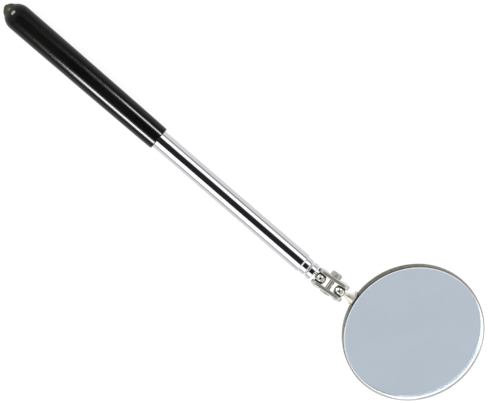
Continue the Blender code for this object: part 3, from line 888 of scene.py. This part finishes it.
def make_second_stud():
    """A thin neck that flares to a flange, with a pin beyond it through the bracket's leg."""
    span = Span("ball_stud_2", HEAD)
    ball = Span("ball_2", HEAD).radius
    seat = ball_seat(NECK_RADIUS, ball, 1)
    flare = span.radius
    flange = span.high.x - BRACKET_THICKNESS - 0.1 * MM
    path = [Vector((seat - 0.3 * MM, 0.0)), Vector((seat - 0.3 * MM, NECK_RADIUS * 0.9)),
            Vector((seat, NECK_RADIUS + 0.08 * MM)), Vector((seat + 0.3 * MM, NECK_RADIUS))]
    start, end = seat + 0.5 * MM, flange - 0.3 * MM
    for k in range(17):
        share = k / 16
        path.append(Vector((start + (end - start) * share,
                            NECK_RADIUS + (flare - NECK_RADIUS) * share ** 1.6)))
    path += rounded([(end, flare), (flange, flare, 0.12 * MM), (flange, 0.8 * MM)], 5)[1:]
    path += [Vector((span.high.x, 0.8 * MM)), Vector((span.high.x, 0.0))]
    turned("ball_stud_2_look", path, HEAD, "ball_stud_2", MATERIALS["satin_steel"],
           ["ball_stud_2"], 64)


def case_frame():
    """A frame with its X out of the mirror's face, from the middle of the case."""
    middle = Span("mirror_case", HEAD)
    return along(HEAD, ((middle.low.x + middle.high.x) / 2, 0, 0), (0, 0, 1))


def make_case(place):
    span = Span("mirror_case", place)
    rim, back, top = span.radius, span.low.x, span.high.x
    bore = rim - CASE_WALL
    bead = (top - LIP_BEAD[0], rim - LIP_BEAD[1])
    path = [Vector((back, 0.0))]
    flat = rim - CASE_FLAT_EDGE
    path += [Vector((back, flat * share)) for share in (0.25, 0.5, 0.75, 0.9)]
    path += rounded([(back, flat), (back, rim, CASE_CORNER), (back + 1.4 * MM, rim)], 10)
    path += arc(bead, LIP_BEAD, 90, LIP_INNER_ANGLE, 18)
    inner_lip = path[-1].y
    path += [Vector((path[-1].x - 0.06 * MM, inner_lip + 0.05 * MM)),
             Vector((top - 0.28 * MM, inner_lip + 0.3 * MM)),
             Vector((top - 0.5 * MM, bore))]
    path += rounded([(top - 0.5 * MM, bore), (back + CASE_WALL, bore, 0.3 * MM),
                     (back + CASE_WALL, 0.0)], 5)[1:]
    turned("mirror_case_look", path, place, "mirror_head", MATERIALS["chrome_case"],
           ["mirror_case"], DISC_SEGMENTS)


def make_glass(place):
    """A clear slab, with its silvering and its ground edge as thin skins just under its surface."""
    span = Span("mirror_glass", place)
    front, back, rim = span.high.x, span.low.x, span.radius
    flat = rim - GLASS_BEVEL - SKIN
    path = [Vector((front, flat * share)) for share in DISC_SHARES]
    path += rounded([(front, flat), (front, rim, GLASS_BEVEL - SKIN), (back, rim, GLASS_BEVEL - SKIN),
                     (back, flat)], 5)
    path.append(Vector((back, 0.0)))
    turned("mirror_glass_look", path, place, "mirror_head", MATERIALS["mirror_glass"],
           ["mirror_glass"], DISC_SEGMENTS)
    skin = back + SKIN
    silver = [Vector((skin, flat * share)) for share in DISC_SHARES + (1.0,)]
    silver += [Vector((skin - SKIN / 2, flat)), Vector((skin - SKIN / 2, 0.0))]
    turned("silvering", silver, place, "mirror_head", MATERIALS["silvering"],
           segments=DISC_SEGMENTS)
    inner, outer = rim - 2 * SKIN, rim - SKIN
    edge = [Vector((front - GLASS_BEVEL, inner)), Vector((skin + GLASS_BEVEL, inner)),
            Vector((skin, inner - GLASS_BEVEL)), Vector((skin, outer - GLASS_BEVEL)),
            Vector((skin + GLASS_BEVEL, outer)), Vector((front - GLASS_BEVEL, outer))]
    return turned("glass_ground_edge", edge, place, "mirror_head",
                  MATERIALS["ground_edge"], segments=DISC_SEGMENTS, closed=True)


def bracket_route(span):
    """The centre line of the bent strip, from the top of its leg, round the bend, to its tip."""
    half = BRACKET_THICKNESS / 2
    x, z = span.low.x + half, span.low.z + half
    corners = [(x, span.high.z - 0.02 * MM), (x, z, BEND_RADIUS), (span.high.x, z)]
    path = rounded(corners, 10)
    route = [path[0]]
    for one, two in zip(path, path[1:]):
        pieces = max(1, int((two - one).length / (0.6 * MM)))
        route += [one + (two - one) * k / pieces for k in range(1, pieces + 1)]
    return route


def round_end(radius, run):
    """How wide a round end of that radius is, some way in from its tip, on each side."""
    return math.sqrt(max(radius ** 2 - (radius - run) ** 2, 0.0))


def make_bracket():
    """A strip with round ends, thickened and bent along its route."""
    span = Span("mirror_bracket", HEAD)
    half_width = span.high.y
    route = bracket_route(span)
    lengths = [0.0]
    for one, two in zip(route, route[1:]):
        lengths.append(lengths[-1] + (two - one).length)
    total = lengths[-1]
    bm = bmesh.new()
    rows = []
    for point, run in zip(route, lengths):
        width = half_width
        from_top, from_tip = run, total - run
        if from_top < BRACKET_CORNER:
            width -= BRACKET_CORNER - round_end(BRACKET_CORNER, from_top)
        if from_tip < half_width:
            width = round_end(half_width, from_tip)
        width = max(width, 0.25 * MM)
        rows.append([bm.verts.new((point.x, width * side, point.y)) for side in np.linspace(-1, 1, 9)])
    for one, two in zip(rows, rows[1:]):
        for k in range(len(one) - 1):
            bm.faces.new((one[k], one[k + 1], two[k + 1], two[k]))
    bracket = new_piece("mirror_bracket_look", bm, HEAD, "mirror_head",
                        MATERIALS["plated_bracket"], ["mirror_bracket"])
    solid = bracket.modifiers.new("thickness", 'SOLIDIFY')
    solid.thickness = BRACKET_THICKNESS
    solid.offset = 0.0
    bevel_edges(bracket, 0.12 * MM, 3)
    apply_modifiers(bracket)


def make_rivets():
    for i in (1, 2):
        node = "bracket_rivet_%d" % i
        whole = Span(node, HEAD)
        place = along(HEAD, ((whole.low.x + whole.high.x) / 2, 0, 0), (0, 0, 1))
        span = Span(node, place)
        seat = Span("mirror_bracket", HEAD).low.z - 0.01 * MM
        inside = Span("mirror_case", HEAD).low.z + CASE_WALL
        top = span.high.x
        path = [Vector((top, 0.0))]
        path += rounded([(top, 0.3 * MM), (top, RIVET_HEAD, 0.15 * MM), (inside, RIVET_HEAD),
                         (inside, RIVET_SHANK), (seat, RIVET_SHANK)], 4)
        height = seat - span.low.x
        for k in range(13):
            angle = math.radians(90 * k / 12)
            path.append(Vector((seat - height * math.sin(angle), span.radius * math.cos(angle))))
        path[-1].y = 0.0
        turned(node + "_look", path, place, "mirror_head", MATERIALS["bright_steel"],
               [node], 48)


def paint_hidden_nodes():
    """The pieces inside the tubes and behind the glass keep their CAD shapes."""
    finishes = {"end_plug": "nylon", "backing_pad": "card"}
    for stage in (2, 3, 4, 5):
        finishes["stop_collar_%d" % stage] = "brass"
        finishes["friction_sleeve_%d" % stage] = "spring_bronze"
    for node, finish in finishes.items():
        for material_slot in frame["nodes"][node].material_slots:
            material_slot.material = MATERIALS[finish]


# Studio

def paint_floor(graph):
    """Pale and self-lit, like a light table, so that its shadows stay faint."""
    mottle = graph.noise(6, detail=2.0)
    return {
        "Base Color": graph.mix(mottle, (0.30, 0.30, 0.30), (0.32, 0.32, 0.32)),
        "Emission Color": graph.mix(mottle, (0.98, 0.98, 0.98), (1.0, 1.0, 1.0)),
        "Roughness": graph.spread(mottle, 0.3, 0.7, 0.85, 0.95),
    }


def make_floor():
    bm = bmesh.new()
    bmesh.ops.create_grid(bm, x_segments=1, y_segments=1, size=4.0)
    mesh = bpy.data.meshes.new("floor")
    bm.to_mesh(mesh)
    bm.free()
    material = new_material("floor", paint_floor, Specular_IOR_Level=0.1, Emission_Strength=0.765)
    mesh.materials.append(material)
    floor = bpy.data.objects.new("floor", mesh)
    floor.location.z = -0.05 * MM
    bpy.context.scene.collection.objects.link(floor)
    return floor


def area_light(name, shape, size, radiance, place):
    """A light of that size, facing back along the Z axis of its place, and not seen itself."""
    lamp = bpy.data.lights.new(name, 'AREA')
    lamp.shape = shape
    lamp.size, lamp.size_y = size
    lamp.energy = radiance * math.pi * size[0] * size[1]
    obj = bpy.data.objects.new(name, lamp)
    bpy.context.scene.collection.objects.link(obj)
    obj.matrix_world = place
    obj.visible_camera = False
    return obj


def softbox(name, angle, half_angle, low_x, high_x, radiance, distance=LIGHT_DISTANCE):
    """A rectangular light beside the handle, at an angle in degrees from straight above it."""
    turn = math.radians(angle)
    outward = Vector((0.0, math.sin(turn), math.cos(turn)))
    height = 2 * distance * math.tan(math.radians(half_angle))
    middle = outward * distance + Vector(((low_x + high_x) / 2, 0, 0))
    along_x = Vector((1, 0, 0))
    place = HANDLE @ axes_frame(middle, along_x, outward.cross(along_x), outward)
    return area_light(name, 'RECTANGLE', (high_x - low_x, height), radiance, place)


def end_light():
    """A light past the grip's end, which glints on the grip's shoulder."""
    turn = math.radians(END_LIGHT_ANGLE)
    outward = Vector((-math.sin(turn), 0.03, math.cos(turn))).normalized()
    across = Vector((0, 1, 0))
    glint = Vector((Span("grip", HANDLE).low.x + GLINT_FROM_END, 0, 0))
    side = across.cross(outward).normalized()
    middle = glint + outward * LIGHT_DISTANCE
    place = HANDLE @ axes_frame(middle, side, outward.cross(side), outward)
    return area_light("end_light", 'ELLIPSE', (0.24, 0.40), 22.0, place)


def link_light(lamp, objects, state):
    """Keep a light off some objects, or for them alone."""
    linked = bpy.data.collections.new(lamp.name + "_linked")
    lamp.light_linking.receiver_collection = linked
    for i, obj in enumerate(objects):
        linked.objects.link(obj)
        linked.collection_objects[i].light_linking.link_state = state


def make_lights(floor, grip, others):
    """The boxes shape the reflections and leave the floor evenly lit. The strips light the grip."""
    for box in (softbox("left_box", LEFT_ANGLE, 23, -0.125, 0.30, 1.5),
                softbox("right_box", RIGHT_ANGLE, 15, -0.115, 0.20, 1.5)):
        link_light(box, [floor], 'EXCLUDE')
    near = 0.9 * LIGHT_DISTANCE
    for strip in (softbox("left_strip", LEFT_ANGLE, 9, -0.120, 0.10, 70.0, near),
                  softbox("right_strip", RIGHT_ANGLE, 6, -0.096, 0.08, 52.0, near)):
        link_light(strip, [grip], 'INCLUDE')
    link_light(end_light(), [grip] + others, 'INCLUDE')
    lamp = bpy.data.lights.new("overhead", 'SUN')
    lamp.energy = 2.2
    lamp.angle = math.radians(90)
    sun = bpy.data.objects.new("overhead", lamp)
    sun.rotation_euler = (math.radians(6), math.radians(-5), 0)
    sun.visible_glossy = False
    bpy.context.scene.collection.objects.link(sun)


def make_world():
    """A pale studio, dim overhead and brighter low ahead of the mirror. Seen directly, it is white."""
    world = bpy.data.worlds.new("studio")
    world.use_nodes = True
    bpy.context.scene.world = world
    world.node_tree.nodes.clear()
    graph = Graph(world.node_tree)
    direction = graph.add("ShaderNodeTexCoord", output="Generated")

    def share_of(vector):
        return graph.add("ShaderNodeVectorMath", {0: direction, 1: vector}, output="Value",
                         operation='DOT_PRODUCT')

    turn = HANDLE.to_3x3()
    lean = math.radians(DIM_CONE_LEAN)
    upward = turn @ Vector((0.0, -math.sin(lean), math.cos(lean)))
    straight_up = turn @ Vector((0.0, 0.0, 1.0))
    ahead = share_of(turn @ Vector((1.0, 0.0, 0.0)))
    narrowing = graph.math('MULTIPLY', graph.math('ABSOLUTE', ahead), 0.3)
    overhead = graph.math('SUBTRACT', share_of(upward), narrowing)
    inner, outer = [math.cos(math.radians(angle)) for angle in DIM_CONE]
    dark = graph.spread(overhead, outer, inner, 0.0, 1.0)
    forward = graph.spread(ahead, -0.2, 0.6, 0.0, 1.0)
    room = graph.mix(forward, (0.50, 0.50, 0.50), (0.655, 0.665, 0.685))
    behind = graph.spread(ahead, -0.4, -0.2, 1.0, 0.0)
    room = graph.mix(behind, room, (0.85, 0.85, 0.86))
    low = graph.spread(share_of(straight_up), 0.22, 0.34, 1.0, 0.0)
    low_ahead = graph.math('MULTIPLY', low, graph.spread(ahead, 0.40, 0.55, 0.0, 1.0))
    room = graph.mix(low_ahead, room, (1.5, 1.5, 1.5))
    room = graph.mix(dark, room, (0.030, 0.027, 0.030))
    seen = graph.add("ShaderNodeLightPath", output="Is Camera Ray")
    colour = graph.mix(seen, room, (1.0, 1.0, 1.0))
    shade = graph.add("ShaderNodeBackground", {"Color": colour})
    output = world.node_tree.nodes.new("ShaderNodeOutputWorld")
    world.node_tree.links.new(shade, output.inputs["Surface"])


def make_camera():
    """A long lens that looks straight down on the handle."""
    lens = bpy.data.cameras.new("camera")
    lens.lens = CAMERA_LENS
    lens.sensor_width = CAMERA_SENSOR
    distance = VIEW_WIDTH * CAMERA_LENS / CAMERA_SENSOR
    lens.clip_start = 0.05
    lens.clip_end = 50.0
    camera = bpy.data.objects.new("camera", lens)
    bpy.context.scene.collection.objects.link(camera)
    right = Vector(VIEW_RIGHT).normalized()
    back = Vector((0, 0, 1))
    centre = Vector(VIEW_CENTRE) + back * distance
    camera.matrix_world = HANDLE @ axes_frame(centre, right, back.cross(right), back)
    bpy.context.scene.camera = camera


def make_object():
    """Build every piece. Return the grip, and the other pieces that the end light shines on."""
    grip = make_grip()
    make_tubes()
    make_ferrule()
    make_first_stud()
    balls = [make_ball("ball_1", along(CLAMP, (0, 0, 0), (1, 0, 0)), "ball_1")]
    make_plates()
    make_nut()
    make_screw()
    balls.append(make_ball("ball_2", HEAD, "ball_2"))
    make_second_stud()
    round_head = case_frame()
    make_case(round_head)
    ground_edge = make_glass(round_head)
    make_bracket()
    make_rivets()
    paint_hidden_nodes()
    return grip, balls + [ground_edge]


make_camera()
make_world()
make_lights(make_floor(), *make_object())
bpy.context.scene.view_settings.view_transform = 'Standard'
